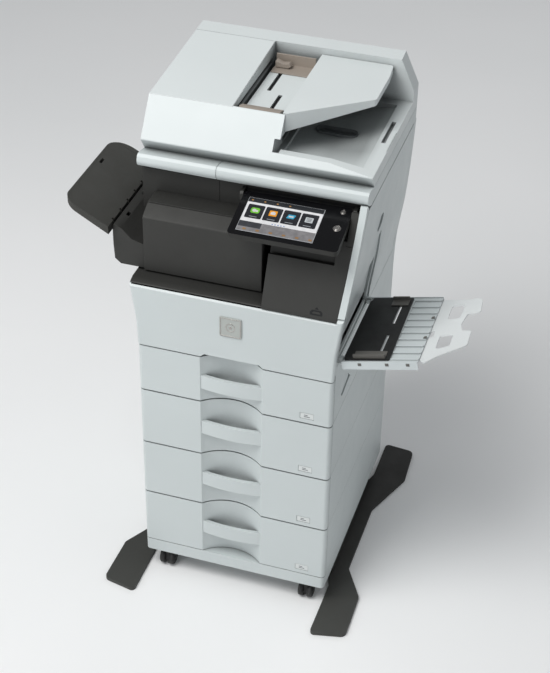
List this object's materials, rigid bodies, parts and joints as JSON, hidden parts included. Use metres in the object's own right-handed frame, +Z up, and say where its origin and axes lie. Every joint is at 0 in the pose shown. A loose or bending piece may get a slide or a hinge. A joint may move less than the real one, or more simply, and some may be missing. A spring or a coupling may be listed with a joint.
{
  "type": "photocopier",
  "caption": "Floor-standing office photocopier: stacked paper drawers, document feeder, tilting touch panel, side bypass tray, inner finisher with output tray, casters and stabilisers.",
  "frame": {"origin": "on the floor, under the centre of the overall bounding box at rest, with the bypass and output trays out; the cabinet itself is centred 46 mm to the left of it", "axes": "+Z up, -Y towards the operator (the front), +X to the operator's right hand"},
  "size_m": [0.848, 0.6888, 1.158],
  "materials": {
    "white_shell": "fine texture",
    "dark_shell": "fine texture",
    "black_gloss": "polished",
    "taupe_plastic": "satin",
    "grey_tray": "satin",
    "black_plastic": "fine texture",
    "bin_plastic": "satin",
    "frame_steel": "galvanised",
    "stabilizer_paint": "powder coat",
    "wheel_rubber": "satin",
    "glass": "clear",
    "screen": "polished",
    "key_metal": "satin",
    "badge": "satin",
    "drum_green": "polished",
    "roller_rubber": "satin",
    "board": "satin",
    "screw_steel": "zinc plated"
  },
  "bodies": {
    "cabinet": {"base_plinth": "white_shell", "stabilizers": "stabilizer_paint", "feeder_cases": "white_shell", "main_frame": "frame_steel", "left_cover": "white_shell", "rear_cover": "white_shell", "right_cover": "white_shell", "inner_cover": "dark_shell", "right_fascia": "dark_shell", "scanner_housing": "white_shell", "platen_glass": "glass", "laser_unit": "black_plastic", "toner_cartridge": "black_plastic", "drum_unit": "black_plastic", "fuser_case": "black_plastic", "power_supply": "frame_steel", "main_board": "board", "finisher_case": "dark_shell", "finisher_wing": "dark_shell", "case_screws": "screw_steel"},
    "drawer_1": {"drawer_front_1": "white_shell", "drawer_bin_1": "bin_plastic"},
    "drawer_2": {"drawer_front_2": "white_shell", "drawer_bin_2": "bin_plastic"},
    "drawer_3": {"drawer_front_3": "white_shell", "drawer_bin_3": "bin_plastic"},
    "drawer_4": {"drawer_front_4": "white_shell", "drawer_bin_4": "bin_plastic"},
    "caster_front_left": {"caster_fork_front_left": "black_plastic"},
    "wheels_front_left": {"caster_wheels_front_left": "wheel_rubber"},
    "caster_front_right": {"caster_fork_front_right": "black_plastic"},
    "wheels_front_right": {"caster_wheels_front_right": "wheel_rubber"},
    "caster_rear_left": {"caster_fork_rear_left": "black_plastic"},
    "wheels_rear_left": {"caster_wheels_rear_left": "wheel_rubber"},
    "caster_rear_right": {"caster_fork_rear_right": "black_plastic"},
    "wheels_rear_right": {"caster_wheels_rear_right": "wheel_rubber"},
    "front_cover": {"front_cover": "white_shell", "badge_plate": "badge"},
    "side_door": {"side_door": "white_shell"},
    "bypass_tray": {"bypass_tray": "grey_tray", "bypass_lift_plate": "black_plastic"},
    "bypass_extension": {"bypass_extension": "grey_tray"},
    "bypass_guide_front": {"bypass_guide_front": "taupe_plastic"},
    "bypass_guide_rear": {"bypass_guide_rear": "taupe_plastic"},
    "document_feeder": {"adf_base": "white_shell", "adf_tray": "white_shell"},
    "feeder_cover": {"adf_feeder_cover": "white_shell"},
    "adf_guide_front": {"adf_guide_front": "taupe_plastic"},
    "adf_guide_rear": {"adf_guide_rear": "taupe_plastic"},
    "pick_roller": {"adf_pick_roller": "roller_rubber"},
    "control_panel": {"control_panel": "black_gloss", "touch_screen": "screen"},
    "home_key": {"home_key": "key_metal"},
    "power_key": {"power_key": "key_metal"},
    "finisher_door": {"finisher_door": "dark_shell"},
    "output_tray": {"output_tray": "dark_shell"},
    "scan_carriage": {"scan_carriage": "black_plastic"},
    "photo_drum": {"photo_drum": "drum_green"},
    "heat_roller": {"fuser_heat_roller": "roller_rubber"},
    "press_roller": {"fuser_press_roller": "roller_rubber"}
  },
  "joints": [
    {"name": "drawer_slide_1", "type": "slide", "parent": "cabinet", "child": "drawer_1", "axis": [0, -1, 0], "range_m": [0, 0.33]},
    {"name": "drawer_slide_2", "type": "slide", "parent": "cabinet", "child": "drawer_2", "axis": [0, -1, 0], "range_m": [0, 0.33]},
    {"name": "drawer_slide_3", "type": "slide", "parent": "cabinet", "child": "drawer_3", "axis": [0, -1, 0], "range_m": [0, 0.33]},
    {"name": "drawer_slide_4", "type": "slide", "parent": "cabinet", "child": "drawer_4", "axis": [0, -1, 0], "range_m": [0, 0.33]},
    {"name": "caster_swivel_front_left", "type": "hinge", "parent": "cabinet", "child": "caster_front_left", "pos_m": [-0.215, -0.21558, 0.05], "axis": [0, 0, 1], "continuous": true},
    {"name": "wheel_spin_front_left", "type": "hinge", "parent": "caster_front_left", "child": "wheels_front_left", "pos_m": [-0.215, -0.22558, 0.02], "axis": [1, 0, 0], "continuous": true},
    {"name": "caster_swivel_front_right", "type": "hinge", "parent": "cabinet", "child": "caster_front_right", "pos_m": [0.123, -0.21558, 0.05], "axis": [0, 0, 1], "continuous": true},
    {"name": "wheel_spin_front_right", "type": "hinge", "parent": "caster_front_right", "child": "wheels_front_right", "pos_m": [0.123, -0.22558, 0.02], "axis": [1, 0, 0], "continuous": true},
    {"name": "caster_swivel_rear_left", "type": "hinge", "parent": "cabinet", "child": "caster_rear_left", "pos_m": [-0.215, 0.23842, 0.05], "axis": [0, 0, 1], "continuous": true},
    {"name": "wheel_spin_rear_left", "type": "hinge", "parent": "caster_rear_left", "child": "wheels_rear_left", "pos_m": [-0.215, 0.22842, 0.02], "axis": [1, 0, 0], "continuous": true},
    {"name": "caster_swivel_rear_right", "type": "hinge", "parent": "cabinet", "child": "caster_rear_right", "pos_m": [0.123, 0.23842, 0.05], "axis": [0, 0, 1], "continuous": true},
    {"name": "wheel_spin_rear_right", "type": "hinge", "parent": "caster_rear_right", "child": "wheels_rear_right", "pos_m": [0.123, 0.22842, 0.02], "axis": [1, 0, 0], "continuous": true},
    {"name": "front_cover_hinge", "type": "hinge", "parent": "cabinet", "child": "front_cover", "pos_m": [-0.046, -0.24658, 0.65], "axis": [1, 0, 0], "range_deg": [0, 80]},
    {"name": "side_door_hinge", "type": "hinge", "parent": "cabinet", "child": "side_door", "pos_m": [0.169, 0.01042, 0.6745], "axis": [0, 1, 0], "range_deg": [0, 40]},
    {"name": "bypass_tray_hinge", "type": "hinge", "parent": "side_door", "child": "bypass_tray", "pos_m": [0.176, 0.01042, 0.685], "axis": [0, -1, 0], "range_deg": [0, 70]},
    {"name": "bypass_extension_slide", "type": "slide", "parent": "bypass_tray", "child": "bypass_extension", "axis": [-0.9744, 0, -0.225], "range_m": [0, 0.055]},
    {"name": "bypass_guide_front_slide", "type": "slide", "parent": "bypass_tray", "child": "bypass_guide_front", "axis": [0, 1, 0], "range_m": [0, 0.055]},
    {"name": "bypass_guide_rear_slide", "type": "slide", "parent": "bypass_tray", "child": "bypass_guide_rear", "axis": [0, 1, 0], "range_m": [-0.055, 0]},
    {"name": "document_feeder_hinge", "type": "hinge", "parent": "cabinet", "child": "document_feeder", "pos_m": [-0.046, 0.25542, 1.036], "axis": [-1, 0, 0], "range_deg": [0, 60]},
    {"name": "feeder_cover_hinge", "type": "hinge", "parent": "document_feeder", "child": "feeder_cover", "pos_m": [-0.289, 0.01042, 1.137], "axis": [0, -1, 0], "range_deg": [0, 65]},
    {"name": "adf_guide_front_slide", "type": "slide", "parent": "document_feeder", "child": "adf_guide_front", "axis": [0, 1, 0], "range_m": [0, 0.04]},
    {"name": "adf_guide_rear_slide", "type": "slide", "parent": "document_feeder", "child": "adf_guide_rear", "axis": [0, 1, 0], "range_m": [-0.04, 0]},
    {"name": "pick_roller_spin", "type": "hinge", "parent": "document_feeder", "child": "pick_roller", "pos_m": [-0.146, 0.01042, 1.09], "axis": [0, 1, 0], "continuous": true},
    {"name": "control_panel_tilt", "type": "hinge", "parent": "cabinet", "child": "control_panel", "pos_m": [0.0535, -0.14258, 0.986], "axis": [1, 0, 0], "range_deg": [0, 18]},
    {"name": "home_key_press", "type": "slide", "parent": "control_panel", "child": "home_key", "axis": [0, 0.2419, -0.9703], "range_m": [0, 0.001]},
    {"name": "power_key_press", "type": "slide", "parent": "control_panel", "child": "power_key", "axis": [0, 0.2419, -0.9703], "range_m": [0, 0.001]},
    {"name": "finisher_door_hinge", "type": "hinge", "parent": "cabinet", "child": "finisher_door", "pos_m": [-0.046, -0.20258, 0.805], "axis": [1, 0, 0], "range_deg": [0, 75]},
    {"name": "output_tray_lift", "type": "slide", "parent": "cabinet", "child": "output_tray", "axis": [0, 0, -1], "range_m": [0, 0.055]},
    {"name": "scan_carriage_slide", "type": "slide", "parent": "cabinet", "child": "scan_carriage", "axis": [1, 0, 0], "range_m": [0, 0.38]},
    {"name": "photo_drum_spin", "type": "hinge", "parent": "cabinet", "child": "photo_drum", "pos_m": [0.092, 0.01042, 0.728], "axis": [0, 1, 0], "continuous": true},
    {"name": "heat_roller_spin", "type": "hinge", "parent": "cabinet", "child": "heat_roller", "pos_m": [0.092, 0.01042, 0.842], "axis": [0, 1, 0], "continuous": true},
    {"name": "press_roller_spin", "type": "hinge", "parent": "cabinet", "child": "press_roller", "pos_m": [0.1163, 0.01042, 0.842], "axis": [0, 1, 0], "continuous": true}
  ],
  "couplings": [
    {"joint": "bypass_guide_rear_slide", "follows": "bypass_guide_front_slide", "ratio": -1},
    {"joint": "adf_guide_rear_slide", "follows": "adf_guide_front_slide", "ratio": -1},
    {"joint": "press_roller_spin", "follows": "heat_roller_spin", "ratio": -1}
  ]
}
